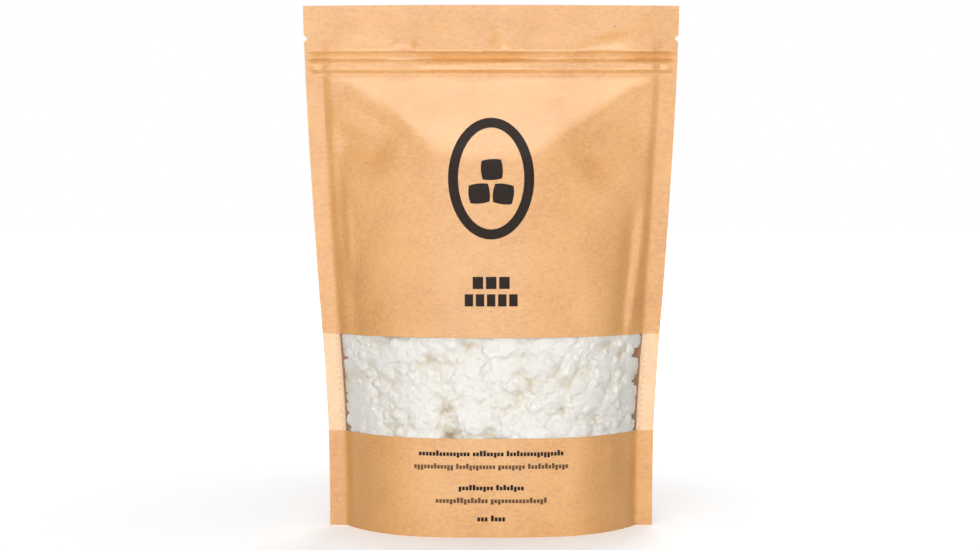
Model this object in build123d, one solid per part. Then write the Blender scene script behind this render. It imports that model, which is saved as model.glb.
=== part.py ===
from build123d import *
import math
import os
import random

# Millimetres. X runs across the pouch, -Y is its front, +Z is up, and it stands on Z = 0.

# Overall sizes of the filled pouch
pouch_width = 160.0
pouch_height = 222.0
foot_width = 138.0
foot_half_depth = 30.5

# The sheets it is made of
paper_thickness = 0.25
film_thickness = 0.15
laminate_gap = 0.06
weld_thickness = 0.40

# Side edges: straight up from the foot, then flaring to the full flat width
straight_foot_height = 45.0
straight_foot_blend = 20.0
flare_power = 1.35
side_weld_width = 7.3

# How the walls belly: the depth falls away from the foot to the zip
belly_reach = 274.0
belly_power = 1.56
foot_squareness = 3.4
zip_squareness = 2.0
weld_edge_blend = 0.03
shoulder_slope = 0.50
shoulder_crease = 4.0
shoulder_fade = 6.0
shoulder_top_blend = 2.0

# Window strip, where the front paper is left out
window_bottom = 40.5
window_top = 82.5
window_edge_sag = 1.5

# Zip, tear line and lips
zip_bottom = 191.5
zip_height = 10.3
zip_tape_thickness = 0.35
zip_tape_gap = 0.12
zip_room = 1.0
zip_room_ramp = 3.5
zip_rib_width = 0.8
zip_rib_depth = 0.95
zip_wall_width = 0.7
zip_wall_depth = 0.6
zip_wall_spacing = 2.9
zip_end_length = 5.0
zip_tape_end_gap = 1.2
lip_bottom = 165.0
tear_height = 208.0
tear_gap = 0.35
lip_side_gap = 0.35
notch_depth = 1.7
notch_height = 2.6
top_weld_bottom = 212.0

# Gusset
gusset_low = 3.0
gusset_rise = 37.0
gusset_power = 3.0
gusset_edge_gap = 0.10
foot_weld_thickness = 0.20
foot_weld_side_gap = 4.0

# Chalk
chalk_level = 122.0
chalk_wall_gap = 0.35
chalk_heap = 6.0
lump_pocket_depth = 11.0
lump_pocket_margin = 2.5
lump_wall_gap = 0.5
lump_gap = 0.4
large_lump = 9.0
medium_lump = 6.4
small_lump = 4.2
large_lump_count = 12
medium_lump_count = 24
small_lump_count = 30
lump_seed = 7

# How closely the bulging walls are sampled; the columns draw together towards the side welds.
# One more row lies below the foot, so that the foot can be cut flat.
wall_columns = 44
wall_rows = 40
column_crowding = 0.15

half_top = pouch_width / 2
half_foot = foot_width / 2
zip_top = zip_bottom + zip_height
inner_room = weld_thickness / 2 + laminate_gap
stack_depth = 3 * foot_half_depth


def soft_max(a, b, blend):
    return (a + b + math.sqrt((a - b) ** 2 + blend ** 2)) / 2


def soft_min(a, b, blend):
    return (a + b - math.sqrt((a - b) ** 2 + blend ** 2)) / 2


def half_width(z):
    climb = soft_max(z - straight_foot_height, 0, straight_foot_blend)
    part = min(1.0, climb / (pouch_height - straight_foot_height))
    return half_foot + (half_top - half_foot) * (1 - (1 - part) ** flare_power)


def belly_depth(x, z):
    """Half the inside depth left by the bulge, nothing at the side welds."""
    across = abs(x) / (half_width(z) - side_weld_width)
    middle = foot_half_depth * (1 - (max(0.0, z) / belly_reach) ** belly_power)
    squareness = foot_squareness + (zip_squareness - foot_squareness) * z / pouch_height
    bulge = middle * soft_max(1 - across ** squareness, 0, weld_edge_blend)
    shoulder = shoulder_slope * soft_max(zip_bottom - z, 0, shoulder_top_blend)
    crease = shoulder_crease * shoulder / (shoulder + shoulder_fade)
    return max(0.0, soft_min(bulge, shoulder, crease) - soft_min(0, shoulder, crease))


def inside_half_depth(x, z):
    """Half the gap between the inner faces of the two films."""
    inset = half_width(z) - side_weld_width - abs(x)
    ramp = min(1.0, max(0.0, inset / zip_room_ramp))
    fade = min(1.0, max(0.0, (top_weld_bottom - z) / (top_weld_bottom - zip_top)))
    room = zip_room * ramp ** 2 * (3 - 2 * ramp) * fade ** 2 * (3 - 2 * fade)
    return inner_room + room + belly_depth(x, z)


def inner_face(side):
    """The inner face of one film, run on a little below the foot; side is -1 for the front."""
    rows = []
    for row in range(-1, wall_rows + 1):
        z = pouch_height * row / wall_rows
        points = []
        for column in range(wall_columns + 1):
            step = 2 * column / wall_columns - 1
            x = half_width(z) * (step + column_crowding * math.sin(math.pi * step))
            points.append(Vector(x, side * inside_half_depth(x, z), z))
        rows.append(points)
    return Face.make_surface_from_array_of_points(rows, tol=0.02)


def wall_ply(side, offset, thickness):
    """A sheet laid on the outside of the film's inner face, some way out from it."""
    return Solid.extrude(Pos(0, side * offset, 0) * inner_faces[side], Vector(0, side * thickness, 0))


def between_walls(shape, gap):
    """What is left of a shape inside the two films, a gap away from both."""
    return shape & wall_ply(-1, -gap, -stack_depth) & wall_ply(1, -gap, -stack_depth)


def slab(bottom, top):
    """A flat layer of space wider than the pouch."""
    return Pos(0, 0, (bottom + top) / 2) * Box(2 * pouch_width, 2 * stack_depth, top - bottom)


def prism(points):
    """An outline in the XZ plane carried right through from front to back."""
    outline = Wire.make_polygon([Vector(x, -stack_depth, z) for x, z in points], close=True)
    return Solid.extrude(Face(outline), Vector(0, 2 * stack_depth, 0))


def lip_outline(gap):
    """The part of a wall that swings: between the side welds, from the lip's root to the tear line."""
    low = half_width(lip_bottom) - side_weld_width - gap
    high = half_width(tear_height) - side_weld_width - gap
    return [(-low, lip_bottom + gap), (low, lip_bottom + gap), (high, tear_height), (-high, tear_height)]


def lip_cutter():
    low = half_width(lip_bottom) - side_weld_width
    high = half_width(tear_height) - side_weld_width
    top = tear_height + tear_gap
    return prism([(-low, lip_bottom), (low, lip_bottom), (high, top), (-high, top)])


def lip_block():
    return prism(lip_outline(lip_side_gap))


def notch_pair():
    """The two V-shaped nicks that start the tear."""
    reach = half_width(tear_height) + 1
    tip = half_width(tear_height) - notch_depth
    cutters = []
    for side in (-1, 1):
        points = [
            (side * reach, tear_height - notch_height / 2),
            (side * tip, tear_height + tear_gap / 2),
            (side * reach, tear_height + tear_gap + notch_height / 2),
        ]
        cutters.append(prism(points))
    return cutters[0] + cutters[1]


def window_cutter():
    """The strip left out of the front paper, its edges sagging a little at the middle."""
    reach = pouch_width
    bottom = ThreePointArc((-reach, window_bottom), (0, window_bottom - window_edge_sag), (reach, window_bottom))
    top = ThreePointArc((-reach, window_top), (0, window_top - window_edge_sag), (reach, window_top))
    left = Line((-reach, window_bottom), (-reach, window_top))
    right = Line((reach, window_bottom), (reach, window_top))
    outline = Plane.XZ.offset(stack_depth) * make_face([bottom, right, top, left])
    return Solid.extrude(outline.faces()[0], Vector(0, 2 * stack_depth, 0))


def body_of_wall(ply):
    """A whole wall sheet without its lip and its header."""
    return ply & slab(0, tear_height) - lip_cutter() - notch_pair()


def header_of_wall(ply):
    return ply & slab(tear_height + tear_gap, pouch_height + 1) - notch_pair()


def lip_of_wall(ply):
    return ply & lip_block()


def gusset_height(x):
    reach = half_width(gusset_rise) - side_weld_width
    return gusset_low + gusset_rise * min(1.0, abs(x) / reach) ** gusset_power


def gusset_layer(bottom, top):
    """A layer that follows the gusset, from one height above it to another."""
    reach = half_width(gusset_rise) - side_weld_width
    steps = 12
    spots = [reach * step / steps for step in range(-steps, steps + 1)]
    lower = Spline([(x, gusset_height(x) + bottom) for x in spots])
    upper = Spline([(x, gusset_height(x) + top) for x in spots])
    left = Line(lower @ 0, upper @ 0)
    right = Line(lower @ 1, upper @ 1)
    outline = Plane.XZ.offset(stack_depth) * make_face([lower, right, upper, left])
    return Solid.extrude(outline.faces()[0], Vector(0, 2 * stack_depth, 0))


def under_gusset():
    """The space below the gusset, between the welded corners of the foot."""
    reach = half_width(0) - side_weld_width - foot_weld_side_gap
    steps = 12
    spots = [reach * step / steps for step in range(-steps, steps + 1)]
    upper = Spline([(x, gusset_height(x) - laminate_gap) for x in spots])
    lower = Line((-reach, 0), (reach, 0))
    left = Line((-reach, 0), upper @ 0)
    right = Line((reach, 0), upper @ 1)
    outline = Plane.XZ.offset(stack_depth) * make_face([lower, right, upper, left])
    return Solid.extrude(outline.faces()[0], Vector(0, 2 * stack_depth, 0))


def side_band(side):
    """The strip along one edge where front and back are welded, up to the tear line."""
    points = []
    steps = 24
    for step in range(steps + 1):
        z = tear_height * step / steps
        points.append((side * (half_width(z) - side_weld_width), z))
    outside = side * pouch_width
    return prism([*points, (outside, tear_height), (outside, 0)])


def zip_end_box(side, gap):
    """The stretch of side weld that the crushed zip end takes up, grown by a gap."""
    middle = zip_bottom + zip_height / 2
    inner = half_width(middle) - side_weld_width
    near = inner - side_weld_width
    far = inner + zip_end_length + gap
    return Pos(side * (near + far) / 2, 0, middle) * Box(far - near, 2 * stack_depth, zip_height + 2 * gap)


def zip_tape(side):
    """A flat tape on the inside of a lip; side is -1 for the front."""
    reach = half_width(zip_bottom) - side_weld_width - zip_tape_end_gap - zip_room_ramp
    outer = inner_room + zip_room - zip_tape_gap
    middle = side * (outer - zip_tape_thickness / 2)
    tape = Box(2 * reach, zip_tape_thickness, zip_height)
    return Pos(0, middle, zip_bottom + zip_height / 2) * tape, reach, side * (outer - zip_tape_thickness)


def zip_rib_tape():
    tape, reach, face = zip_tape(-1)
    rib = Box(2 * reach, zip_rib_depth, zip_rib_width)
    return tape + Pos(0, face + zip_rib_depth / 2, zip_bottom + zip_height / 2) * rib


def zip_channel_tape():
    tape, reach, face = zip_tape(1)
    for turn in (-1, 1):
        wall = Box(2 * reach, zip_wall_depth, zip_wall_width)
        height = zip_bottom + zip_height / 2 + turn * zip_wall_spacing / 2
        tape = tape + Pos(0, face - zip_wall_depth / 2, height) * wall
    return tape


def lump_spots():
    """Places and sizes of the lumps behind the window, none touching another or the film."""
    dice = random.Random(lump_seed)
    wanted = [large_lump] * large_lump_count + [medium_lump] * medium_lump_count + [small_lump] * small_lump_count
    placed = []
    for size in wanted:
        radius = size / 2
        for attempt in range(400):
            z = dice.uniform(window_bottom - lump_pocket_margin + radius, window_top - radius)
            reach = half_width(z) - side_weld_width - lump_pocket_depth / 2 - radius
            x = dice.uniform(-reach, reach)
            lean = math.hypot(1, (inside_half_depth(x, z) - inside_half_depth(x + 1, z)))
            y = (radius + lump_wall_gap) * lean - inside_half_depth(x, z)
            clear = all(math.dist((x, y, z), spot) > radius + other / 2 + lump_gap for spot, other in placed)
            if clear:
                placed.append(((x, y, z), size))
                break
    return placed


def rough_lump(size, dice):
    """A broken piece of chalk: a block with its corners knocked off by a second, turned block."""
    edge = size / math.sqrt(3)
    block = Box(edge * dice.uniform(0.9, 1.0), edge * dice.uniform(0.85, 1.0), edge * dice.uniform(0.8, 1.0))
    other = Rot(dice.uniform(30, 60), dice.uniform(30, 60), dice.uniform(0, 90)) * Box(edge, edge, edge)
    return Rot(dice.uniform(0, 360), dice.uniform(0, 360), 0) * (block & other)


def chalk_lumps(size):
    dice = random.Random(lump_seed + size)
    lumps = [Pos(*spot) * rough_lump(other, dice) for spot, other in lump_spots() if other == size]
    return Compound(children=[lump.solids()[0] for lump in lumps])


def lump_pocket():
    """The shallow layer just behind the window where the separate lumps lie."""
    ply = wall_ply(-1, 0, -lump_pocket_depth)
    return ply & slab(window_bottom - lump_pocket_margin, window_top + lump_pocket_margin)


def chalk_bed():
    """The powder that fills the pouch, heaped a little at the middle."""
    reach = half_width(0) - side_weld_width
    heap = ThreePointArc((-reach, chalk_level), (0, chalk_level + chalk_heap), (reach, chalk_level))
    sides = Polyline((reach, chalk_level), (reach, 0), (-reach, 0), (-reach, chalk_level))
    outline = Plane.XZ.offset(stack_depth) * make_face([heap, sides])
    heaped = Solid.extrude(outline.faces()[0], Vector(0, 2 * stack_depth, 0))
    above = gusset_layer(film_thickness + paper_thickness + 3 * laminate_gap, pouch_height)
    return between_walls(heaped & above, chalk_wall_gap) - lump_pocket()


def largest(shape):
    """The one solid that is meant, without slivers left by cutting."""
    return max(shape.solids(), key=lambda solid: solid.volume)


def save(name, shape):
    export_step(shape, f"parts/{name}.step")
    print(name, round(shape.volume, 1))


def build_walls():
    film_offset = 0
    paper_offset = film_thickness + laminate_gap
    for side, name in ((-1, "front"), (1, "back")):
        film = wall_ply(side, film_offset, film_thickness)
        paper = wall_ply(side, paper_offset, paper_thickness)
        save(f"{name}_lip_film", largest(lip_of_wall(film)))
        save(f"{name}_lip_paper", largest(lip_of_wall(paper)))
        save(f"header_{name}_film", largest(header_of_wall(film)))
        save(f"header_{name}_paper", largest(header_of_wall(paper)))
        save(f"{name}_film", largest(body_of_wall(film)))
        if side > 0:
            save("back_paper", largest(body_of_wall(paper)))
        else:
            cut = body_of_wall(paper) - window_cutter()
            save("front_paper_lower", largest(cut & slab(0, window_bottom)))
            save("front_paper_upper", largest(cut & slab(window_top - window_edge_sag - 1, pouch_height)))


def build_welds():
    for side, name in ((-1, "left"), (1, "right")):
        band = between_walls(side_band(side), laminate_gap) - notch_pair()
        save(f"zip_crushed_end_{name}", largest(band & zip_end_box(side, 0)))
        save(f"{name}_side_weld", largest(band - zip_end_box(side, laminate_gap)))
    save("header_top_weld", largest(between_walls(slab(top_weld_bottom, pouch_height), laminate_gap)))
    for side, name in ((-1, "front"), (1, "back")):
        ply = wall_ply(side, -laminate_gap, -foot_weld_thickness)
        save(f"{name}_foot_weld", largest(ply & under_gusset()))


def build_gusset():
    reach = half_width(gusset_rise) - side_weld_width - laminate_gap
    between = Box(2 * reach, 2 * stack_depth, 3 * pouch_height)
    film_bottom = paper_thickness + laminate_gap
    layers = {"gusset_paper": (0, paper_thickness), "gusset_film": (film_bottom, film_bottom + film_thickness)}
    for name, (bottom, top) in layers.items():
        save(name, largest(between_walls(gusset_layer(bottom, top) & between, gusset_edge_gap)))


def build_zip():
    save("zip_rib_tape", largest(zip_rib_tape()))
    save("zip_channel_tape", largest(zip_channel_tape()))


def build_chalk():
    save("chalk_powder", largest(chalk_bed()))
    save("chalk_lumps_large", chalk_lumps(large_lump))
    save("chalk_lumps_medium", chalk_lumps(medium_lump))
    save("chalk_lumps_small", chalk_lumps(small_lump))


os.makedirs("parts", exist_ok=True)
inner_faces = {side: inner_face(side) for side in (-1, 1)}
build_walls()
build_welds()
build_gusset()
build_zip()
build_chalk()
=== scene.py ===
import math
import random

import bmesh
import bpy
import numpy as np
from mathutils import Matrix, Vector, noise


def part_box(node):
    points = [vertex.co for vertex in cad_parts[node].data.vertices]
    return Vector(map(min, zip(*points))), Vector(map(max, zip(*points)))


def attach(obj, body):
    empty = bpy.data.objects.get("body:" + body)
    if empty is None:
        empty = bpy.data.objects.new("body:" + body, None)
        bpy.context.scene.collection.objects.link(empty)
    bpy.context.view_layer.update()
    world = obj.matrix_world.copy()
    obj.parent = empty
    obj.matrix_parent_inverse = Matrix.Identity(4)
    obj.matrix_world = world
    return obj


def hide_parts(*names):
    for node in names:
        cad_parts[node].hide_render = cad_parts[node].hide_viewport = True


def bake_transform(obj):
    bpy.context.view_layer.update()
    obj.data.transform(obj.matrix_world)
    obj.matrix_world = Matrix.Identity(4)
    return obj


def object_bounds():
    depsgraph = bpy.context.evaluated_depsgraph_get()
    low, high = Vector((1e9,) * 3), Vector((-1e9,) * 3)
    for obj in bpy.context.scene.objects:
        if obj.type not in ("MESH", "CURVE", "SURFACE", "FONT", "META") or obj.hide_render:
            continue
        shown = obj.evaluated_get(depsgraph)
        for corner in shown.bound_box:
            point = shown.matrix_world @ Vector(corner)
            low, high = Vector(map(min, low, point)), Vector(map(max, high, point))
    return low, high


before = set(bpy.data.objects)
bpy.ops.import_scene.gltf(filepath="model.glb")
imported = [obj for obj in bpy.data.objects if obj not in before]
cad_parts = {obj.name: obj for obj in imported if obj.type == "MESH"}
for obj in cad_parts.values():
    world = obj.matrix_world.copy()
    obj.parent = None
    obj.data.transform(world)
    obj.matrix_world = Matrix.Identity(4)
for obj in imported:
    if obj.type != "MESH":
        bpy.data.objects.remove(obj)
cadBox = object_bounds()
mm = 0.001
print("frame loaded")


def cadLow(node, axis=2):
    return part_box(node)[0][axis] / mm


def cadHigh(node, axis=2):
    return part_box(node)[1][axis] / mm


# the pouch's own shape, in millimetres, front and back alike
pouch = {
    "height": cadBox[1].z / mm,
    "halfTop": cadBox[1].x / mm,
    "halfFoot": 69.0,
    "straightFoot": 45.0,  # the side edges stand upright this far
    "flarePower": 1.35,
    "sideWeld": 7.3,
    "footDepth": 30.5,  # half of front to back at the foot
    "bellyReach": 274.0,
    "bellyPower": 1.56,
    "footSquareness": 3.4,
    "zipSquareness": 1.7,
    "shoulderSlope": 0.50,
    "shoulderCrease": 2.4,
    "weldRoom": 0.02,  # from the middle plane to the film at the side welds
    "zipRoom": 1.0,
    "skin": 0.42,  # paper and film together
    "weldHalf": 0.13,  # half of the fused layer between the two papers
    "lining": 0.15,
    "windowLow": cadHigh("front_paper_lower") + 1.6,
    "windowHigh": cadLow("front_paper_upper") + 1.5,
    "lipRoot": cadLow("front_lip_paper") - 0.35,
    "tear": cadHigh("front_lip_paper"),
    "zipLow": cadLow("zip_rib_tape"),
    "zipHigh": cadHigh("zip_rib_tape"),
    "headerShut": 212,  # above this the header's two sheets lie together
    "topBow": 0.5,  # the top edge is a touch higher at the middle
    "bowStart": 205,
}


def softMax(a, b, blend):
    return (a + b + np.sqrt((a - b) ** 2 + blend ** 2)) / 2


def softMin(a, b, blend):
    return (a + b - np.sqrt((a - b) ** 2 + blend ** 2)) / 2


def smooth(low, high, value):
    t = np.clip((value - low) / (high - low), 0, 1)
    return t * t * (3 - 2 * t)


def bump(value, middle, width):
    return np.exp(-((value - middle) / width) ** 2)


def halfWidth(z):
    climb = softMax(z - pouch["straightFoot"], 0, 20)
    part = np.clip(climb / (pouch["height"] - pouch["straightFoot"]), 0, 1)
    flare = 1 - (1 - part) ** pouch["flarePower"]
    return pouch["halfFoot"] + (pouch["halfTop"] - pouch["halfFoot"]) * flare


def innerHalf(z):  # half the width between the side welds
    return halfWidth(z) - pouch["sideWeld"]


def bellyDepth(x, z):
    across = np.abs(x) / innerHalf(z)
    middle = pouch["footDepth"] * (1 - np.clip(z / pouch["bellyReach"], 0, 1) ** pouch["bellyPower"])
    squareness = pouch["footSquareness"]
    squareness = squareness + (pouch["zipSquareness"] - squareness) * z / pouch["zipHigh"]
    bulge = middle * softMax(1 - across ** squareness, 0, 0.03)
    shoulder = pouch["shoulderSlope"] * softMax(pouch["zipLow"] - z, 0, 1.2)
    crease = pouch["shoulderCrease"] * shoulder / (shoulder + 6)
    return np.maximum(0, softMin(bulge, shoulder, crease) - softMin(0, shoulder, crease))


def insideDepth(x, z):
    inset = innerHalf(z) - np.abs(x)
    fade = 1 - smooth(pouch["zipHigh"], pouch["headerShut"], z)
    return pouch["weldRoom"] + pouch["zipRoom"] * smooth(0, 3.5, inset) * fade + bellyDepth(x, z)


# creases and dents in the paper, each a soft fold: from x, z to x, z, how wide,
# and how far it stands out (or in, when negative)
frontFolds = {
    "shoulderLeft": (-70, 189, -34, 164, 4.5, -1.5),
    "shoulderLeftLow": (-66, 176, -40, 163, 5.0, 0.45),
    "saddleLeft": (-66, 166, -44, 160, 7.0, -1.9),
    "shoulderRight": (71, 188, 30, 160, 5.0, -1.3),
    "saddleRight": (66, 178, 42, 152, 8.0, -1.8),
    "creaseRight": (66.5, 138, 58.5, 83, 2.2, 1.3),
    "creaseRightInner": (61, 132, 55, 82, 3.4, -1.6),
    "windowCreaseRight": (54.5, 82, 53, 48, 1.5, 0.8),
    "creaseLeft": (-62, 140, -59, 104, 1.8, 0.8),
    "creaseLeftLow": (-59.5, 112, -57.5, 84, 2.6, -1.0),
    "creaseLeftHigh": (-66, 158, -62, 120, 2.2, -0.8),
    "dimpleLeftFoot": (-57, 38, -55.5, 14, 4.2, -0.8),
    "dimpleRightFoot": (57, 41, 56, 16, 4.0, -1.2),
    "dimpleRightEdge": (51, 40, 50, 26, 2.2, 0.5),
    "headerDentLeft": (-41, 206.5, -33, 205.5, 2.6, -1.0),
    "headerDentMiddle": (2, 209, 7, 204.8, 2.4, -0.9),
    "headerDentRight": (40, 205.6, 58, 207.5, 3.0, -1.0),
    "headerRidge": (-26, 217, 2, 206, 4.0, 0.9),
    "headerHollow": (-64, 213, -30, 210, 5.0, -0.7),
    "headerRidgeRight": (44, 210, 66, 216, 4.0, 0.8),
    "headerHollowRight": (14, 212, 40, 216, 5.0, -0.6),
}
backFolds = {
    "shoulderLeft": (-70, 188, -36, 163, 5.0, -1.4),
    "shoulderRight": (70, 189, 33, 161, 5.0, -1.3),
    "creaseLeft": (-64, 141, -58, 78, 2.4, 1.1),
    "creaseLeftInner": (-59, 130, -54, 74, 3.4, -1.3),
    "creaseRight": (63, 128, 58, 86, 2.0, 0.9),
    "dimpleMiddle": (-14, 96, 10, 88, 9.0, -0.5),
    "dimpleFoot": (55, 40, 54, 12, 4.2, -1.0),
    "headerDent": (-30, 206, -14, 208, 3.8, -0.45),
    "headerDentRight": (28, 208, 44, 205, 3.6, -0.45),
}


def foldHeight(folds, x, z):
    total = np.zeros_like(x)
    for x0, z0, x1, z1, width, height in folds.values():
        run = np.array([x1 - x0, z1 - z0])
        along = ((x - x0) * run[0] + (z - z0) * run[1]) / (run @ run)
        away = ((x - x0) * run[1] - (z - z0) * run[0]) / math.hypot(*run)
        ends = smooth(-0.25, 0.25, along) * smooth(1.25, 0.75, along)
        total += height * ends * np.exp(-(away / width) ** 2)
    return total


def zipEmboss(x, z):  # the lines that the closed zip presses through the paper
    low, high = pouch["zipLow"] + 2.4, pouch["zipHigh"] + 0.8
    wander = 0.25 * np.sin(x / 21) + 0.15 * np.sin(x / 8.3 + 1)
    tape = 0.42 * smooth(high + 0.4, high - 0.4, z) * smooth(low - 0.5, low + 0.4, z)
    ridges = 0.50 * bump(z, high - 0.5, 0.45) + 0.62 * bump(z, high - 3.5, 0.45)
    ridges += 0.34 * bump(z, low + 1.1, 0.6)
    grooves = 0.36 * bump(z, high - 2.4, 0.5) + 0.28 * bump(z, high - 5.2 + wander, 0.8)
    reach = innerHalf(z) + 4.5
    press = 1 + 0.35 * np.sin(x / 13 + 2) + 0.2 * np.sin(x / 4.7)
    return (tape + (ridges - grooves) * press) * smooth(reach + 0.8, reach - 0.6, np.abs(x))


def roll(x, z, size, seed):  # slow swells of the given size
    flat = zip(x.ravel(), z.ravel())
    values = [noise.noise(Vector((a / size, seed, b / size))) for a, b in flat]
    return np.array(values).reshape(x.shape)


def headerFade(z):
    return smooth(pouch["zipHigh"], pouch["zipHigh"] + 3, z)


def bodyFade(x, z):  # 0 at the side welds, 1 further in
    return smooth(-0.5, 9, innerHalf(z) - np.abs(x))


def headerBow(x, z):  # the header's two sheets bend together
    return headerFade(z) * bodyFade(x, z) * foldHeight(frontFolds, x, z)


def wallDepth(x, z, side):
    x, z = np.broadcast_arrays(np.asarray(x, float), np.asarray(z, float))
    folds = frontFolds if side < 0 else backFolds
    inset = innerHalf(z) - np.abs(x)
    slack = bodyFade(x, z) * smooth(0, 8, z)  # the foot edge and the welds stay put
    seed = 3.1 if side < 0 else 8.7
    ripple = 0.55 * roll(x, z, 34, seed) + 0.22 * roll(x, z, 13, seed + 2) + 0.07 * roll(x, z, 5, seed + 4)
    header = headerFade(z)
    zipBand = smooth(pouch["zipLow"] - 3, pouch["zipLow"], z) * (1 - header)
    calm = 1 - 0.85 * zipBand - 0.55 * header
    room = insideDepth(x, z) + zipEmboss(x, z)
    room += slack * calm * ripple + slack * (1 - 0.85 * zipBand) * foldHeight(folds, x, z)
    weldTexture = 0.03 * np.sin(z * 2.6) * smooth(0.2, -0.6, inset)
    bow = headerBow(x, z)
    if side > 0:
        room -= header * slack * foldHeight(backFolds, x, z) + bow
        return np.maximum(room, pouch["weldRoom"] - bow) + weldTexture
    return np.maximum(room, pouch["weldRoom"] + bow) + weldTexture


# sheets laid out on the wall
# across runs from -1 to 1, and each side weld takes its last tenth; up is the height on the flat panel

weldShare = 0.1
weldLine = 1 - weldShare


def placeOnWall(across, up):
    z = up + pouch["topBow"] * (1 - across ** 2) * smooth(pouch["bowStart"], pouch["height"], up)
    inner = innerHalf(z)
    outer = (np.abs(across) - weldLine) / weldShare
    onWeld = np.sign(across) * (inner + outer * pouch["sideWeld"])
    x = np.where(np.abs(across) <= weldLine, across / weldLine * inner, onWeld)
    return x, z


notch = {"deep": 1.8, "halfTall": 1.35, "aboveTear": 0.17}


def notchDepth(up):
    gap = np.abs(up - pouch["tear"] - notch["aboveTear"])
    return notch["deep"] * np.clip(1 - gap / notch["halfTall"], 0, 1)


def gridLines(stops, steps):
    lines = [stops[0]]
    for low, high, step in zip(stops, stops[1:], steps):
        count = max(1, round((high - low) / step))
        lines += [low + (high - low) * (i + 1) / count for i in range(count)]
    return np.array(lines)


def wallSheet(name, side, ups, acrosses, outer, keep=None, flat=None):
    across, up = np.meshgrid(acrosses, ups)
    x, z = placeOnWall(across, up)
    x -= np.sign(x) * notchDepth(up) * smooth(0.93, 1.0, np.abs(across))
    if flat is None:
        y = side * (wallDepth(x, z, side) + outer)
    else:  # a fused layer between the two walls
        y = side * (flat + headerBow(x, z))
    verts = np.stack([x, y, z], -1).reshape(-1, 3) * mm
    columns = len(acrosses)
    faces = []
    for row in range(len(ups) - 1):
        for column in range(columns - 1):
            middle = (acrosses[column] + acrosses[column + 1]) / 2, (ups[row] + ups[row + 1]) / 2
            if keep and not keep(*middle):
                continue
            a = row * columns + column
            quad = (a, a + 1, a + columns + 1, a + columns)
            faces.append(quad if side < 0 else quad[::-1])
    return meshPiece(name, verts, faces)


def meshPiece(name, verts, faces):
    mesh = bpy.data.meshes.new(name)
    mesh.from_pydata([tuple(v) for v in verts], [], faces)
    mesh.update()
    piece = bpy.data.objects.new(name, mesh)
    bpy.context.scene.collection.objects.link(piece)
    loose = bmesh.new()
    loose.from_mesh(mesh)
    bmesh.ops.delete(loose, geom=[v for v in loose.verts if not v.link_faces], context="VERTS")
    loose.to_mesh(mesh)
    loose.free()
    mesh.shade_smooth()
    return piece


def bakeModifiers(piece):
    bpy.context.view_layer.update()
    done = bpy.data.meshes.new_from_object(piece.evaluated_get(bpy.context.evaluated_depsgraph_get()))
    piece.modifiers.clear()
    old = piece.data
    piece.data = done
    bpy.data.meshes.remove(old)
    return piece


def thicken(piece, thickness, outsideFinish, insideFinish, rimFinish):
    for finish in (outsideFinish, insideFinish, rimFinish):
        piece.data.materials.append(finish)
    solid = piece.modifiers.new("thickness", "SOLIDIFY")
    solid.thickness = thickness * mm
    solid.offset = -1
    solid.material_offset = 1
    solid.material_offset_rim = 2
    bakeModifiers(piece)
    piece.data.set_sharp_from_angle(angle=math.radians(50))
    return piece


# finishes, each one a small node tree


def hexColour(code):
    parts = [int(code[i:i + 2], 16) / 255 for i in (1, 3, 5)]
    linear = [p / 12.92 if p <= 0.04045 else ((p + 0.055) / 1.055) ** 2.4 for p in parts]
    return (*linear, 1.0)


def addNode(tree, kind, settings=None, inputs=None):
    node = tree.nodes.new(kind)
    for key, value in (settings or {}).items():
        setattr(node, key, value)
    for key, value in (inputs or {}).items():
        if isinstance(value, bpy.types.NodeSocket):
            tree.links.new(value, node.inputs[key])
        else:
            node.inputs[key].default_value = value
    return node


def newFinish(name):
    finish = bpy.data.materials.new(name)
    finish.use_nodes = True
    finish.node_tree.nodes.clear()
    return finish, finish.node_tree


def setRamp(ramp, stops):
    points = ramp.color_ramp.elements
    while len(points) < len(stops):
        points.new(1.0)
    for point, (place, colour) in zip(points, stops):
        point.position = place
        point.color = colour if len(colour) == 4 else (*colour, 1.0)


def objectSpot(tree):
    return addNode(tree, "ShaderNodeTexCoord").outputs["Object"]


def noiseOf(tree, spot, scale, detail, roughness=0.5):
    inputs = {"Vector": spot, "Scale": scale, "Detail": detail, "Roughness": roughness}
    return addNode(tree, "ShaderNodeTexNoise", inputs=inputs).outputs["Fac"]


def stretched(tree, spot, turn, scale):
    inputs = {"Vector": spot, "Rotation": (0, turn, 0), "Scale": scale}
    return addNode(tree, "ShaderNodeMapping", inputs=inputs).outputs[0]


def sumOf(tree, operation, *values, clamp=False):
    settings = {"operation": operation, "use_clamp": clamp}
    return addNode(tree, "ShaderNodeMath", settings, dict(enumerate(values))).outputs[0]


def spread(tree, value, low, high, newLow=0.0, newHigh=1.0):
    inputs = {"Value": value, "From Min": low, "From Max": high, "To Min": newLow, "To Max": newHigh}
    return addNode(tree, "ShaderNodeMapRange", inputs=inputs).outputs[0]


def reliefOf(tree, height, strength, distance):
    inputs = {"Strength": strength, "Distance": distance, "Height": height}
    return addNode(tree, "ShaderNodeBump", inputs=inputs).outputs[0]


def tintOf(tree, value, stops):
    tint = addNode(tree, "ShaderNodeValToRGB", inputs={"Fac": value})
    setRamp(tint, [(place, hexColour(code)) for place, code in stops])
    return tint.outputs[0]


def surfaceOf(tree, colour, roughness, **more):
    inputs = {"Base Color": colour, "Roughness": roughness}
    inputs.update({key.replace("_", " "): value for key, value in more.items()})
    return addNode(tree, "ShaderNodeBsdfPrincipled", inputs=inputs).outputs[0]


def showAs(tree, shader):
    addNode(tree, "ShaderNodeOutputMaterial", inputs={"Surface": shader})


fleckLook = {"scale": 190.0, "rarity": 0.93, "reach": 0.085, "strength": 0.55, "colour": "#6b4526"}


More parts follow.
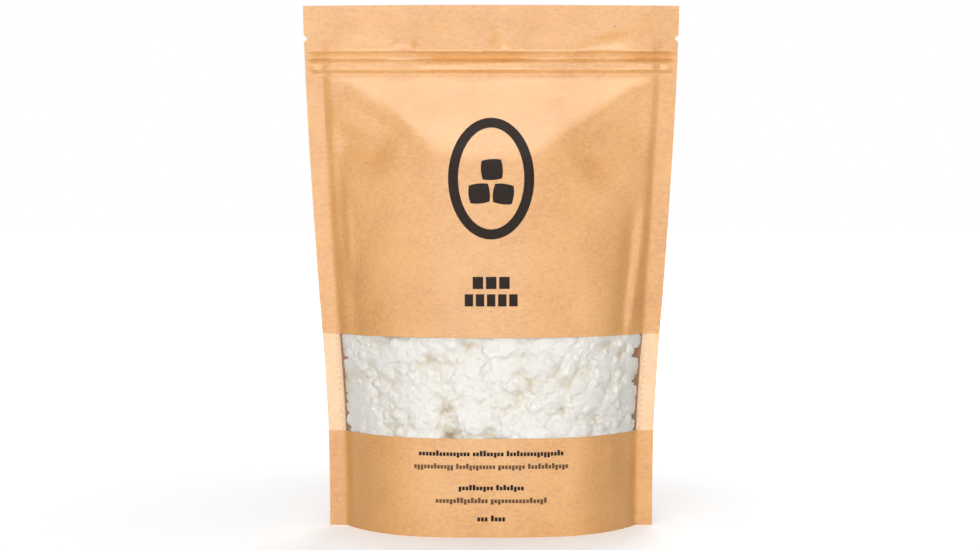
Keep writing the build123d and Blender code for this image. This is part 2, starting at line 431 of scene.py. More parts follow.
def makeKraft(name, light, middle, dark, roughness, specular):
    finish, tree = newFinish(name)
    spot = objectSpot(tree)
    cloud = noiseOf(tree, spot, 48.0, 2.0)
    mottle = noiseOf(tree, stretched(tree, spot, 0, (0.6, 1.0, 1.0)), 900.0, 4.0, 0.6)
    strandsA = noiseOf(tree, stretched(tree, spot, 0.35, (0.16, 1, 1.5)), 1500.0, 2.0)
    strandsB = noiseOf(tree, stretched(tree, spot, -0.5, (0.2, 1, 1.4)), 1350.0, 2.0)
    grain = sumOf(tree, "MULTIPLY_ADD", sumOf(tree, "MULTIPLY", strandsA, strandsB), 0.9, mottle)
    shade = spread(tree, sumOf(tree, "MULTIPLY_ADD", cloud, 0.7, grain), 0.74, 1.38)
    tint = tintOf(tree, shade, [(0.0, dark), (0.5, middle), (1.0, light)])
    cells = addNode(tree, "ShaderNodeTexVoronoi", {"feature": "F1"},
                    {"Vector": spot, "Scale": fleckLook["scale"], "Randomness": 1.0})
    rare = addNode(tree, "ShaderNodeSeparateColor", inputs={"Color": cells.outputs["Color"]}).outputs[0]
    size = spread(tree, rare, fleckLook["rarity"], 1.0, 0.0, fleckLook["reach"])
    inside = sumOf(tree, "LESS_THAN", cells.outputs["Distance"], size)
    fleck = sumOf(tree, "MULTIPLY", inside, fleckLook["strength"])
    colour = addNode(tree, "ShaderNodeMix", {"data_type": "RGBA"},
                     {0: fleck, 6: tint, 7: hexColour(fleckLook["colour"])}).outputs[2]
    rough = spread(tree, mottle, 0.3, 0.7, roughness - 0.05, roughness + 0.07)
    relief = reliefOf(tree, grain, 0.35, 0.00012)
    showAs(tree, surfaceOf(tree, colour, rough, Normal=relief, Specular_IOR_Level=specular))
    return finish


def makeFilm(name, milk, colour, haze):
    finish, tree = newFinish(name)
    relief = reliefOf(tree, noiseOf(tree, objectSpot(tree), 70.0, 2.0), 0.25, 0.0006)
    clear = addNode(tree, "ShaderNodeBsdfTransparent", inputs={"Color": (0.985, 0.98, 0.97, 1)}).outputs[0]
    skin = surfaceOf(tree, hexColour(colour), haze, Normal=relief)
    glance = addNode(tree, "ShaderNodeLayerWeight", inputs={"Blend": 0.5, "Normal": relief})
    steep = sumOf(tree, "POWER", glance.outputs["Facing"], 5.0)
    cover = sumOf(tree, "MULTIPLY_ADD", steep, 0.9, 0.04 + milk, clamp=True)
    both = addNode(tree, "ShaderNodeMixShader", inputs={0: cover, 1: clear, 2: skin})
    showAs(tree, both.outputs[0])
    return finish


def makeChalk(name):
    finish, tree = newFinish(name)
    spot = objectSpot(tree)
    powder = noiseOf(tree, spot, 1400.0, 5.0, 0.7)
    clumps = noiseOf(tree, spot, 330.0, 5.0, 0.65)
    hollow = addNode(tree, "ShaderNodeAttribute", {"attribute_name": "hollow"}).outputs["Fac"]
    # painted shade: the deeper the hollow between the lumps, the more the white turns cream and then tan
    tint = tintOf(tree, hollow, [(0.0, "#fdfcf9"), (0.35, "#faf7f0"), (0.62, "#e8dcc6"), (1.0, "#b59f82")])
    relief = reliefOf(tree, sumOf(tree, "MULTIPLY_ADD", clumps, 2.2, powder), 0.9, 0.0006)
    showAs(tree, surfaceOf(tree, tint, 0.95, Normal=relief, Specular_IOR_Level=0.15))
    return finish


def makeInk(name, dark, light):
    finish, tree = newFinish(name)
    tint = tintOf(tree, noiseOf(tree, objectSpot(tree), 900.0, 3.0), [(0.3, dark), (0.75, light)])
    showAs(tree, surfaceOf(tree, tint, 0.55, Specular_IOR_Level=0.16))
    return finish


# the printed face: warm tan, crossed fibres and rare dark flecks, with a soft sheen on raised folds
kraftOuter = makeKraft("pressedKraftPaper", "#e3a960", "#db9d54", "#cc8c47", 0.46, 1.0)
# the inside face: duller and browner, and glossier because the film lies over it
kraftLined = makeKraft("filmLinedKraft", "#dc9d68", "#d08f5c", "#c17f4c", 0.3, 0.5)
# the fused seam, pressed flat and coloured a paler tan than the printed face, seen behind the window's ends
# and along the sides
weldedPaper = makeKraft("weldedKraftSeam", "#ffdcae", "#f9d0a0", "#efbf8b", 0.5, 0.5)
# raw cut edges: pale and matt, a thin light line around each sheet
paperEdge = makeKraft("cutPaperEdge", "#ecc697", "#e0b27e", "#cf9c66", 0.85, 0.2)
# the window: nearly invisible face on, with glints that grow towards the turned edges
clearFilm = makeFilm("clearCastFilm", 0.0, "#ffffff", 0.14)
# the window's welded ends: the same film gone cloudy and cream
weldedFilm = makeFilm("heatWeldedFilm", 0.16, "#fff1dd", 0.25)
# zip tapes: half see-through cream plastic with a soft shine
zipPlastic = makeFilm("extrudedZipPlastic", 0.55, "#f4ead9", 0.3)
# chalk: matt white powder, with painted shade in the hollows between the lumps, cream to tan as they deepen
chalk = makeChalk("crushedMagnesiaChalk")
# bold print: near black, a little uneven where the paper's tooth shows
ink = makeInk("flexoPrintInk", "#1d120b", "#2c1d13")
# light print: the same ink laid thin, so it reads as mid brown
thinInk = makeInk("thinFlexoPrintInk", "#5c4029", "#765538")
print("finishes made")


# walls

weldSteps = list(np.linspace(weldLine, 1.0, 9))
innerSteps = list(np.linspace(-weldLine, weldLine, 121))
acrossAll = np.array([-a for a in weldSteps[::-1]] + innerSteps[1:-1] + weldSteps)
lipAcross = np.array(innerSteps)
lipRoot, tear, top = pouch["lipRoot"], pouch["tear"], pouch["height"]
zipStart, zipEnd = pouch["zipLow"] - 2, pouch["zipHigh"] + 1  # rows lie close together between these

footRows = gridLines([0, 6, pouch["windowLow"]], [1.2, 1.4])
shoulderRows = gridLines([pouch["windowHigh"], lipRoot, zipStart, zipEnd, tear], [1.4, 1.3, 0.33, 0.8])
lipRows = gridLines([lipRoot, zipStart, zipEnd, tear], [1.3, 0.33, 0.8])
headerRows = gridLines([tear, tear + 2, top], [0.4, 1.1])
backRows = gridLines([0, 6, lipRoot, zipStart, zipEnd, tear], [1.2, 1.5, 1.3, 0.33, 0.8])
paperThickness = pouch["skin"] - pouch["lining"]


def onSideWeld(across, up):
    return abs(across) > weldLine


def besideLips(across, up):
    return up < lipRoot or onSideWeld(across, up)


def paperSheet(name, side, rows, acrosses, keep=None):
    sheet = wallSheet(name, side, rows, acrosses, pouch["skin"], keep)
    return thicken(sheet, paperThickness, kraftOuter, kraftLined, paperEdge)


frontLower = paperSheet("frontPaperLower", -1, footRows, acrossAll)
frontUpper = paperSheet("frontPaperUpper", -1, shoulderRows, acrossAll, besideLips)
backWall = paperSheet("backPaper", 1, backRows, acrossAll, besideLips)
headerFront = paperSheet("headerFrontPaper", -1, headerRows, acrossAll)
headerBack = paperSheet("headerBackPaper", 1, headerRows, acrossAll)
print("walls laid")

weldRows = gridLines([0, tear], [3.0])
topWeldLow = 211.5
weldTopRows = gridLines([tear, topWeldLow, top - 0.15], [1.5, 2.0])


def onHeaderWeld(across, up):
    return onSideWeld(across, up) or up > topWeldLow


def weldSheet(name, rows, keep):
    inset = 0.9975  # keeps the seam just inside the papers' cut edge
    sheet = wallSheet(name, -1, rows, acrossAll * inset, 0, keep, flat=pouch["weldHalf"])
    return thicken(sheet, 2 * pouch["weldHalf"], weldedPaper, weldedPaper, weldedPaper)


sideWelds = weldSheet("sideWelds", weldRows, onSideWeld)
headerWeld = weldSheet("headerWeld", weldTopRows, onHeaderWeld)
print("welds laid")

window = {"tuck": 2.5, "thickness": 0.1, "behindPaper": 0.03}  # tuck is how far the film runs under the paper
windowRows = gridLines([pouch["windowLow"] - window["tuck"], pouch["windowHigh"] + window["tuck"]], [1.2])
windowFilm = wallSheet("windowFilm", -1, windowRows, acrossAll, pouch["lining"] - window["behindPaper"])
windowFilm = thicken(windowFilm, window["thickness"], clearFilm, clearFilm, clearFilm)
windowFilm.data.materials.clear()
for finish in (clearFilm, weldedFilm):
    windowFilm.data.materials.append(finish)
for face in windowFilm.data.polygons:
    face.material_index = 1 if abs(face.center.x / mm) > innerHalf(face.center.z / mm) else 0
print("window film laid")


# lips, each cut in three: a middle piece and two side pieces, split along slanted lines


def cutAway(piece, point, normal):
    shell = bmesh.new()
    shell.from_mesh(piece.data)
    everything = shell.verts[:] + shell.edges[:] + shell.faces[:]
    bmesh.ops.bisect_plane(shell, geom=everything, plane_co=point, plane_no=normal, clear_outer=True)
    shell.to_mesh(piece.data)
    shell.free()
    return piece


lipBend = {"inner": 20.0, "zip": pouch["zipLow"]}
seamReach = float(innerHalf(lipRoot)) + 0.4


def cutLines(turn):
    run = Vector((seamReach - lipBend["inner"], 0, lipRoot - lipBend["zip"])).normalized()
    out = Vector((turn * -run.z, 0, run.x))  # up and outwards, across the slanted cut
    corner = Vector((turn * seamReach, 0, lipRoot)) * mm
    inner = Vector((turn * lipBend["inner"], 0, 0)) * mm
    return out, corner, inner


def sideLip(piece, turn):
    out, corner, inner = cutLines(turn)
    cutAway(piece, corner, -out)
    return cutAway(piece, inner, Vector((-turn, 0, 0)))


def middleLip(low, high):
    level = Vector((0, 0, lipBend["zip"])) * mm
    cutAway(low, level, Vector((0, 0, 1)))
    cutAway(high, level, Vector((0, 0, -1)))
    for turn in (1, -1):
        out, corner, inner = cutLines(turn)
        cutAway(low, corner, out)
        cutAway(high, inner, Vector((turn, 0, 0)))
    joined = bmesh.new()
    for piece in (low, high):
        joined.from_mesh(piece.data)
    bmesh.ops.remove_doubles(joined, verts=joined.verts[:], dist=0.00001)
    joined.to_mesh(low.data)
    joined.free()
    bpy.data.objects.remove(high)
    return low


def lipSet(side, word):
    def sheet(part):
        return wallSheet(f"{word}Lip{part}", side, lipRows, lipAcross, pouch["skin"])

    middle = middleLip(sheet("Middle"), sheet("Middle"))
    parts = [middle, sideLip(sheet("Left"), -1), sideLip(sheet("Right"), 1)]
    return [thicken(part, paperThickness, kraftOuter, kraftLined, paperEdge) for part in parts]


frontLip = lipSet(-1, "front")
backLip = lipSet(1, "back")


def bendLip(parts, nodes):
    middle, left, right = parts
    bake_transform(middle)
    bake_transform(left)
    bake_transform(right)
    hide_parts(*nodes)


bendLip(frontLip, ["front_lip_paper", "front_lip_film"])
bendLip(backLip, ["back_lip_paper", "back_lip_film"])


# chalk

bed = {
    "low": 4.0,
    "top": cadHigh("chalk_powder") - 4.5,
    "film": 0.35,  # how near the lumps press to the film
    "deep": 5.5,  # how far the hollows between them go in
    "bigLump": 10.5,
    "midLump": 5.2,
    "smallLump": 2.3,
    "clearOfBack": 0.6,
    "heap": 5.5,  # how much higher the top of the bed is at its middle
}


def lumpField(x, z, size, seed):
    values = []
    for a, b in zip(x.ravel(), z.ravel()):
        near = noise.voronoi(Vector((a / size, seed, b / size)), distance_metric="DISTANCE", exponent=2.5)[0]
        values.append(1 - near[0] ** 2 * 0.9 + 0.35 * (near[1] - near[0]))
    return np.array(values).reshape(x.shape)


def chalkHollow(x, z):
    big = lumpField(x + 2 * roll(x, z, 9, 21), z + 2 * roll(x, z, 9, 25), bed["bigLump"], 0.3)
    mid = lumpField(x + roll(x, z, 4, 31), z + roll(x, z, 4, 35), bed["midLump"], 4.3)
    small = lumpField(x, z, bed["smallLump"], 9.3)
    height = 0.55 * big + 0.34 * mid + 0.16 * small + 0.35 * roll(x, z, 12, 41)
    return np.clip((1.02 - height) / 0.8, 0, 1) ** 1.3


gussetFold = {"low": 3.0, "rise": 37.0, "thickness": 0.4, "clearance": 0.25}


def gussetLift(across):  # the gusset's upper face, which the chalk rests on
    upper = gussetFold["low"] + gussetFold["thickness"]
    return upper + gussetFold["rise"] * np.clip(np.abs(across) / weldLine, 0, 1) ** 3


def raggedReach(z, side):  # the crumbling edge of the chalk, short of the side weld
    crumbs = roll(z, np.zeros_like(z), 5.5, 50 + side) + 0.5 * roll(z, np.zeros_like(z), 1.7, 60 + side)
    back = 1.2 + 3.8 * smooth(0.0, 0.5, crumbs) + 0.8 * crumbs
    return innerHalf(z) - np.clip(back, 0.5, 7)


def loopFaces(first, second, count):
    pairs = [(i, (i + 1) % count) for i in range(count)]
    return [(first + i, first + j, second + j, second + i) for i, j in pairs]


def chalkBed():
    low, high = pouch["windowLow"] - 3, pouch["windowHigh"] + 3
    rows = gridLines([bed["low"], low, high, bed["top"]], [5, 0.55, 4])
    frontSide = np.linspace(-weldLine, weldLine, 241)
    backSide = np.linspace(weldLine, -weldLine, 41)[1:-1]
    verts, hollows = [], []
    for up in rows:
        for acrosses, side in ((frontSide, -1), (backSide, 1)):
            height = np.maximum(np.full_like(acrosses, up), gussetLift(acrosses))
            reach = np.where(acrosses < 0, raggedReach(height, -1), raggedReach(height, 1))
            x = acrosses / weldLine * reach
            if side < 0 and low <= up <= high:
                hollow = chalkHollow(x, height)
            else:
                hollow = np.full_like(x, 0.15)
            room = wallDepth(x, height, side)
            dent = bed["deep"] * hollow * np.clip(room / 16, 0.04, 1)
            inward = bed["film"] + dent if side < 0 else bed["clearOfBack"]
            depth = np.maximum(0.02, room - inward)
            verts += list(zip(x, side * depth, height))
            hollows += list(hollow)
    loop = len(frontSide) + len(backSide)
    faces = []
    for row in range(len(rows) - 1):
        faces += loopFaces(row * loop, (row + 1) * loop, loop)
    ring = np.array(verts[-loop:])
    start = len(verts) - loop
    for shrink in (0.93, 0.84, 0.74, 0.63, 0.51, 0.38, 0.24, 0.1):  # rings up the heaped top
        newRing = []
        for a, b, c in ring:
            heap = bed["heap"] * (1 - shrink) + 2.4 * noise.noise(Vector((a * shrink / 7, b * shrink / 7, 5)))
            heap += 1.0 * noise.noise(Vector((a * shrink / 2.6, b * shrink / 2.6, 9)))
            newRing.append((a * shrink, b * shrink, c + heap))
        first = len(verts)
        verts += newRing
        faces += loopFaces(start, first, loop)
        start = first
    verts.append((0, 0, bed["top"] + 6))
    for i in range(loop):
        faces.append((start + i, start + (i + 1) % loop, len(verts) - 1))
    verts.append((0, 0, bed["low"]))
    for i in range(loop):
        faces.append(((i + 1) % loop, i, len(verts) - 1))
    piece = meshPiece("chalkBed", np.array(verts) * mm, faces)
    hollows += [0.1] * (len(verts) - len(hollows))
    # the hollow depth of each point, which the chalk finish turns into painted shade
    piece.data.attributes.new("hollow", "FLOAT", "POINT").data.foreach_set("value", hollows)
    piece.data.materials.append(chalk)
    return piece


chalkPile = chalkBed()
print("chalk bed filled")


def nodeTree(name, sockets):
    tree = bpy.data.node_groups.new(name, "GeometryNodeTree")
    tree.interface.new_socket("Geometry", in_out="INPUT", socket_type="NodeSocketGeometry")
    tree.interface.new_socket("Geometry", in_out="OUTPUT", socket_type="NodeSocketGeometry")
    for label, kind in sockets.items():
        tree.interface.new_socket(label, in_out="INPUT", socket_type=kind)
    return tree, addNode(tree, "NodeGroupInput")


def socketId(tree, label):
    inputs = [item for item in tree.interface.items_tree if item.in_out == "INPUT"]
    return next(item.identifier for item in inputs if item.name == label)


lumps = {
    "perSquareMetre": 26000.0,
    "smallest": 0.0007,
    "largest": 0.0030,
    "sunk": 0.0011,  # how far behind the bed's face they sit
    "clearance": 0.2,  # in millimetres, to the film
    "seed": 5,
}


def scatterLumps():
    sockets = {"Density": "NodeSocketFloat", "Smallest": "NodeSocketFloat", "Largest": "NodeSocketFloat",
               "Seed": "NodeSocketInt", "Finish": "NodeSocketMaterial"}
    tree, given = nodeTree("lumpScatter", sockets)
    spots = addNode(tree, "GeometryNodeDistributePointsOnFaces", {"distribute_method": "RANDOM"},
                    {"Mesh": given.outputs["Geometry"], "Density": given.outputs["Density"],
                     "Seed": given.outputs["Seed"]})
    ball = addNode(tree, "GeometryNodeMeshIcoSphere", inputs={"Radius": 1.0, "Subdivisions": 2})
    place = addNode(tree, "GeometryNodeInputPosition")
    ragged = noiseOf(tree, place.outputs[0], 1.3, 1.0)
    shift = addNode(tree, "ShaderNodeVectorMath", {"operation": "SCALE"},
                    {0: place.outputs[0], "Scale": ragged})
    lump = addNode(tree, "GeometryNodeSetPosition",
                   inputs={"Geometry": ball.outputs["Mesh"], "Offset": shift.outputs[0]})
    size = addNode(tree, "FunctionNodeRandomValue", {"data_type": "FLOAT"},
                   {2: given.outputs["Smallest"], 3: given.outputs["Largest"], "Seed": given.outputs["Seed"]})
    squashed = addNode(tree, "FunctionNodeRandomValue", {"data_type": "FLOAT_VECTOR"},
                       {0: (0.55, 0.5, 0.5), 1: (0.85, 0.7, 0.8), "Seed": 77})
    scale = addNode(tree, "ShaderNodeVectorMath", {"operation": "SCALE"},
                    {0: squashed.outputs[0], "Scale": size.outputs[1]})
    turn = addNode(tree, "FunctionNodeRandomValue", {"data_type": "FLOAT_VECTOR"},
                   {0: (0, 0, 0), 1: (6.28, 6.28, 6.28), "Seed": 31})
    placed = addNode(tree, "GeometryNodeInstanceOnPoints",
                     inputs={"Points": spots.outputs["Points"], "Instance": lump.outputs[0],
                             "Rotation": turn.outputs[0], "Scale": scale.outputs[0]})
    real = addNode(tree, "GeometryNodeRealizeInstances", inputs={"Geometry": placed.outputs[0]})
    painted = addNode(tree, "GeometryNodeSetMaterial", inputs={"Geometry": real.outputs[0],
                                                              "Material": given.outputs["Finish"]})
    addNode(tree, "NodeGroupOutput", inputs={"Geometry": painted.outputs[0]})
    return tree


lumpTree = scatterLumps()


def grownOn(name, base, tree, values):
    piece = bpy.data.objects.new(name, base.data.copy())
    bpy.context.scene.collection.objects.link(piece)
    grower = piece.modifiers.new("growth", "NODES")
    grower.node_group = tree
    for label, value in values.items():
        grower[socketId(tree, label)] = value
    bakeModifiers(piece)
    piece.data.shade_smooth()
    return piece


def bandOf(name, pickFace):
    patch = bpy.data.objects.new(name, chalkPile.data.copy())
    cut = bmesh.new()
    cut.from_mesh(patch.data)
    bmesh.ops.delete(cut, geom=[f for f in cut.faces if not pickFace(f)], context="FACES")
    cut.to_mesh(patch.data)
    cut.free()
    return patch


def atWindow(face):
    middle = face.calc_center_median() / mm
    level = pouch["windowLow"] - 1 < middle.z < pouch["windowHigh"] + 1
    inside = abs(middle.x) < innerHalf(middle.z) - 2.5
    return level and inside and middle.y < 0 and face.normal.y < -0.2


windowPatch = bandOf("windowPatch", atWindow)
for vertex in windowPatch.data.vertices:
    vertex.co.y += lumps["sunk"]
chalkLumps = grownOn("chalkLumps", windowPatch, lumpTree, {
    "Density": lumps["perSquareMetre"], "Smallest": lumps["smallest"], "Largest": lumps["largest"],
    "Seed": lumps["seed"], "Finish": chalk})
bpy.data.objects.remove(windowPatch)
print("lumps scattered", len(chalkLumps.data.polygons))


def insideFilm(piece, clearance):
    count = len(piece.data.vertices)
    spots = np.empty(count * 3)
    piece.data.vertices.foreach_get("co", spots)
    spots = spots.reshape(-1, 3) / mm
    limit = wallDepth(spots[:, 0], spots[:, 2], -1) - clearance
    spots[:, 1] = np.maximum(spots[:, 1], -limit)
    piece.data.vertices.foreach_set("co", (spots * mm).ravel())
    piece.data.update()


insideFilm(chalkLumps, lumps["clearance"])


# printing: a plain ring with three blocks, and plain bars where words would be

inkLayer = {"lift": 0.05, "thickness": 0.04}
emblem = {"middle": 148.8, "halfWide": 18.0, "halfTall": 25.5, "band": 4.2}
emblemBlocks = {  # place across, height above the middle, width, height, tilt
    "left": (-5.0, -6.4, 9.0, 8.4, 0.10),
    "right": (5.1, -6.6, 8.8, 8.6, -0.12),
    "upper": (0.3, 3.6, 9.2, 8.8, 0.06),
}
# each row of bars: height, row length, letter height, number of words
titleRows = {"title": (105.3, 15.4, 7.0, 1), "titleLow": (98.1, 22.0, 7.0, 1)}
noticeRows = {
    "contents": (34.5, 60.0, 2.1, 3),
    "kind": (20.4, 27.0, 2.1, 2),
    "weight": (7.6, 11.5, 2.3, 2),
}
quietRows = {"contentsAgain": (29.2, 64.0, 2.1, 4), "kindAgain": (15.1, 46.0, 2.1, 2)}


def printedPatch(name, outlines, finish, keepAbove=None, keepBelow=None):
    verts, faces = [], []
    for points, quads in outlines:
        first = len(verts)
        verts += points
        faces += [tuple(first + i for i in quad) for quad in quads]
    flat = np.array(verts)
    depth = wallDepth(flat[:, 0], flat[:, 1], -1) + pouch["skin"] + inkLayer["lift"]
    spots = np.stack([flat[:, 0], -depth, flat[:, 1]], -1) * mm
    piece = meshPiece(name, spots, faces)
    if keepAbove:
        cutAway(piece, Vector((0, 0, keepAbove * mm)), Vector((0, 0, -1)))
    if keepBelow:
        cutAway(piece, Vector((0, 0, keepBelow * mm)), Vector((0, 0, 1)))
    return thicken(piece, inkLayer["thickness"], finish, finish, finish)


def ringOutline(x, z, halfWide, halfTall, band, steps=96, rings=4):
    points, quads = [], []
    for ring in range(rings + 1):
        inset = band * (1 - ring / rings)
        for step in range(steps):
            angle = 2 * math.pi * step / steps
            wide, tall = (halfWide - inset) * math.cos(angle), (halfTall - inset) * math.sin(angle)
            points.append((x + wide, z + tall))
    for ring in range(rings):
        for step in range(steps):
            a, b = ring * steps + step, ring * steps + (step + 1) % steps
            quads.append((a, a + steps, b + steps, b))
    return points, quads


def blockOutline(x, z, width, height, tilt, soft=0.22, steps=14):
    cos, sin = math.cos(tilt), math.sin(tilt)
    points, quads = [], []
    for row in range(steps + 1):
        for column in range(steps + 1):
            u, v = 2 * column / steps - 1, 2 * row / steps - 1
            a = u * math.sqrt(1 - soft * v * v) * width / 2
            b = v * math.sqrt(1 - soft * u * u) * height / 2
            points.append((x + a * cos - b * sin, z + a * sin + b * cos))
    for row in range(steps):
        for column in range(steps):
            a = row * (steps + 1) + column
            quads.append((a, a + 1, a + steps + 2, a + steps + 1))
    return points, quads


def barOutline(x, z, length, height):
    columns = max(2, round(length / 0.8))
    points, quads = [], []
    for row in range(4):
        for column in range(columns + 1):
            points.append((x - length / 2 + length * column / columns, z - height / 2 + height * row / 3))
    for row in range(3):
        for column in range(columns):
            a = row * (columns + 1) + column
            quads.append((a, a + 1, a + columns + 2, a + columns + 1))
    return points, quads


def dummyWords(height, length, tall, words):
    dice = random.Random(int(height * 10))
    slim, letterGap, wordGap = 0.52 * tall, 0.16 * tall, 0.62 * tall
    shares = [dice.uniform(0.7, 1.3) for _ in range(words)]
    room = length - wordGap * (words - 1)
    outlines, start = [], -length / 2
    for share in shares:
        wide = room * share / sum(shares)
        count = max(1, round((wide + letterGap) / (slim + letterGap)))
        slot = (wide + letterGap) / count
        for letter in range(count):
            lift = dice.choice((0, 0, 0, 0.34, -0.3)) * tall if tall < 3 else 0
            bar = slot - letterGap
            middle = start + letter * slot + bar / 2
            outlines.append(barOutline(middle, height + lift / 2, bar, 0.72 * tall + abs(lift)))
        start += wide + wordGap
    return outlines


def allRows(rows):
    return [bar for row in rows.values() for bar in dummyWords(*row)]


middleZ = emblem["middle"]
ring = ringOutline(0, middleZ, emblem["halfWide"], emblem["halfTall"], emblem["band"])
blocks = [blockOutline(x, middleZ + rise, *shape) for x, rise, *shape in emblemBlocks.values()]
emblemPrint = printedPatch("emblemPrint", [ring, *blocks], ink, keepBelow=lipRoot)
emblemTop = printedPatch("emblemTop", [ring], ink, keepAbove=lipRoot)
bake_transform(emblemTop)
titlePrint = printedPatch("titlePrint", allRows(titleRows), ink)
noticePrint = printedPatch("noticePrint", allRows(noticeRows), ink)
quietPrint = printedPatch("quietPrint", allRows(quietRows), thinInk)
print("printing laid on")


# gusset


def gussetSheet():
    columns, rows = 64, 20
    verts, faces = [], []
    rise = gussetFold["rise"]
    reach = float(innerHalf(rise)) - 0.1
    for column in range(columns + 1):
        x = reach * (2 * column / columns - 1)
        z = gussetFold["low"] + rise * abs(x / reach) ** 3
        deep = float(insideDepth(np.array(x), np.array(z))) - gussetFold["clearance"]
        for row in range(rows + 1):
            verts.append((x * mm, deep * (2 * row / rows - 1) * mm, z * mm))
    for column in range(columns):
        for row in range(rows):
            a = column * (rows + 1) + row
            faces.append((a, a + 1, a + rows + 2, a + rows + 1))
    piece = meshPiece("gussetPaper", verts, faces)
    return thicken(piece, gussetFold["thickness"], kraftOuter, kraftLined, paperEdge)


gusset = gussetSheet()
print("gusset made")


# zip tapes, three pieces each; the middle pieces ride on the lips' bodies

# depths from the middle plane: a tape's own two faces, the rib's tip and the channel's walls
tapeDepth = {"outer": 1.10, "inner": 0.80, "ribTip": -0.10, "wallTip": 0.22}


def tapeProfile(kind):
    low, high = pouch["zipLow"] + 0.1, pouch["zipHigh"] - 0.1
    middle = (low + high) / 2
    outer, inner = tapeDepth["outer"], tapeDepth["inner"]
    if kind == "rib":
        upper = [(inner, 0.3), (0.25, 0.3), (0.15, 0.42)]
        lower = [(depth, -rise) for depth, rise in upper[::-1]]
        hook = [(depth, middle + rise) for depth, rise in upper + [(tapeDepth["ribTip"], 0)] + lower]
    else:
        hook = []
        for centre in (middle + 1.45, middle - 1.45):
            hook += [(inner, centre + 0.33), (tapeDepth["wallTip"], centre + 0.33),
                     (tapeDepth["wallTip"], centre - 0.33), (inner, centre - 0.33)]
    return [(outer, low), (outer, high), (inner, high), *hook, (inner, low)]


def tapePiece(name, side, kind, start, end):
    profile = tapeProfile(kind)
    count = max(2, round(abs(end - start) / 4))
    verts = []
    for i in range(count + 1):
        x = start + (end - start) * i / count
        verts += [(x * mm, side * depth * mm, z * mm) for depth, z in profile]
    size = len(profile)
    faces = [tuple(range(size)), tuple(count * size + i for i in reversed(range(size)))]
    for i in range(count):
        for j in range(size):
            a, b = i * size + j, i * size + (j + 1) % size
            faces.append((a, a + size, b + size, b))
    piece = meshPiece(name, verts, faces)
    tidyNormals = bmesh.new()
    tidyNormals.from_mesh(piece.data)
    bmesh.ops.recalc_face_normals(tidyNormals, faces=tidyNormals.faces[:])
    tidyNormals.to_mesh(piece.data)
    tidyNormals.free()
    piece.data.set_sharp_from_angle(angle=math.radians(40))
    piece.data.materials.append(zipPlastic)
    return piece


tapeReach = cadHigh("zip_rib_tape", 0)
inner = lipBend["inner"]
for side, kind, node, body in (
    (-1, "rib", "zip_rib_tape", "front_lip"),
    (1, "channel", "zip_channel_tape", "back_lip"),
):
    middlePiece = tapePiece(f"{kind}TapeMiddle", side, kind, -inner, inner)
    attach(middlePiece, body)
    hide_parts(node)
    for turn, word in ((-1, "Left"), (1, "Right")):
        tape = tapePiece(f"{kind}Tape{word}", side, kind, turn * inner, turn * tapeReach)
        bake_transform(tape)
print("zip tapes laid")


# who rides on what

for piece, nodes in (
    (frontLower, ["front_paper_lower", "front_foot_weld"]),
    (frontUpper, ["front_paper_upper"]),
    (sideWelds, ["left_side_weld", "right_side_weld", "zip_crushed_end_left", "zip_crushed_end_right"]),
    (backWall, ["back_paper", "back_film", "back_foot_weld"]),
    (gusset, ["gusset_paper", "gusset_film"]),
):
    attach(piece, "pouch")
    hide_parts(*nodes)
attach(windowFilm, "pouch")
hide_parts("front_film")
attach(chalkPile, "pouch")
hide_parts("chalk_powder")
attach(chalkLumps, "pouch")
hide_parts("chalk_lumps_large", "chalk_lumps_medium", "chalk_lumps_small")
for piece in (emblemPrint, titlePrint, noticePrint, quietPrint):
    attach(piece, "pouch")
for piece, nodes in (
    (headerFront, ["header_front_paper", "header_front_film"]),
    (headerWeld, ["header_top_weld"]),
    (headerBack, ["header_back_paper", "header_back_film"]),
):
    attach(piece, "tear_strip")
    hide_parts(*nodes)
print("pieces riding")


# floor, light and camera

studio = {
    "distance": 0.85,
    "eyeHeight": 0.145,
    "aimHeight": 0.1075,
    "aimAcross": -0.0009,
    "lens": 73.2,
}

floorMesh = bpy.data.meshes.new("floor")
floorMesh.from_pydata([(-6, -6, 0), (6, -6, 0), (6, 6, 0), (-6, 6, 0)], [], [(0, 1, 2, 3)])
floor = bpy.data.objects.new("floor", floorMesh)
bpy.context.scene.collection.objects.link(floor)
# a pale sweep with a painted glow of its own: it glows more the further it is from the pouch, so it ends in
# plain white, and its dimmer glow close around the foot paints a soft shadow
floorPaint, floorTree = newFinish("paleStudioFloor")
floorReach = addNode(floorTree, "ShaderNodeVectorMath", {"operation": "LENGTH"}, {0: objectSpot(floorTree)})
floorReach = floorReach.outputs["Value"]
glowFar = spread(floorTree, floorReach, 0.10, 0.7, 0.38, 0.84)
# painted shadow: close around the foot the glow drops to less than half, darkening the floor there
paintedShadowGlow = spread(floorTree, floorReach, 0.03, 0.085, 0.42, 1.0)
glow = sumOf(floorTree, "MULTIPLY", glowFar, paintedShadowGlow)
showAs(floorTree, surfaceOf(floorTree, hexColour("#f6f6f6"), 0.8, Specular_IOR_Level=0.2,
                            Emission_Color=(1, 1, 1, 1), Emission_Strength=glow))
floorMesh.materials.append(floorPaint)
floor.visible_diffuse = False  # keeps its glow off the paper

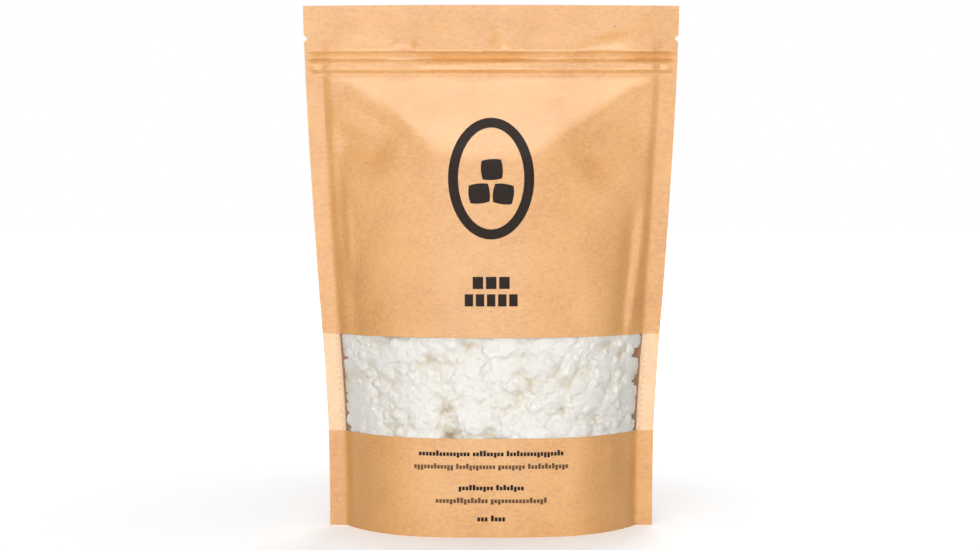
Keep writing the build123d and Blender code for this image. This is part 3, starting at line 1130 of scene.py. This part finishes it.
world = bpy.data.worlds.new("whiteStudio")
bpy.context.scene.world = world
world.use_nodes = True
world.node_tree.nodes.clear()
backdrop = addNode(world.node_tree, "ShaderNodeBackground", inputs={"Color": (1, 1, 1, 1), "Strength": 1.0})
roomGlow = addNode(world.node_tree, "ShaderNodeBackground", inputs={"Color": (1, 1, 1, 1), "Strength": 0.25})
rays = addNode(world.node_tree, "ShaderNodeLightPath")
seen = addNode(world.node_tree, "ShaderNodeMixShader",
               inputs={0: rays.outputs["Is Camera Ray"], 1: roomGlow.outputs[0], 2: backdrop.outputs[0]})
addNode(world.node_tree, "ShaderNodeOutputWorld", inputs={"Surface": seen.outputs[0]})

lamps = {  # where it stands, where it points, width, height and power
    "keyBox": ((-0.22, -1.5, 0.30), (0, 0, 0.09), 0.9, 0.6, 6.4),
    "washBox": ((-0.1, -1.4, 0.20), (0, 0, 0.08), 1.2, 0.6, 7.2),  # evens out the front, adds no shine
    "fillBox": ((0.95, -1.0, 0.06), (0, 0, 0.04), 0.5, 0.5, 4.7),
    "leftFillBox": ((-1.0, -1.0, 0.05), (0, 0, 0.03), 0.5, 0.5, 3.5),
    "overheadBox": ((-0.1, -0.5, 0.95), (0, 0, 0.12), 0.6, 0.4, 1.4),
    "backBox": ((0.3, 1.4, 0.55), (0, 0, 0.11), 0.8, 0.6, 9.0),
    "sheenBox": ((0.02, -0.60, 0.86), (0, 0, 0.15), 0.55, 0.34, 5.0),  # only the shine on the shoulder
}


def softBox(name, spot, target, wide, tall, power):
    lamp = bpy.data.lights.new(name, "AREA")
    lamp.shape = "RECTANGLE"
    lamp.size, lamp.size_y = wide, tall
    lamp.energy = power
    holder = bpy.data.objects.new(name, lamp)
    bpy.context.scene.collection.objects.link(holder)
    holder.location = spot
    holder.rotation_euler = (Vector(target) - Vector(spot)).to_track_quat("-Z", "Y").to_euler()
    return holder


boxes = {name: softBox(name, *setting) for name, setting in lamps.items()}
boxes["washBox"].visible_glossy = False
boxes["sheenBox"].visible_diffuse = False

camera = bpy.data.objects.new("camera", bpy.data.cameras.new("camera"))
bpy.context.scene.collection.objects.link(camera)
camera.location = (studio["aimAcross"], -studio["distance"], studio["eyeHeight"])
aim = Vector((studio["aimAcross"], 0, studio["aimHeight"]))
camera.rotation_euler = (aim - camera.location).to_track_quat("-Z", "Y").to_euler()
camera.data.lens = studio["lens"]
bpy.context.scene.camera = camera
bpy.context.scene.view_settings.view_transform = "Standard"
print("studio set")
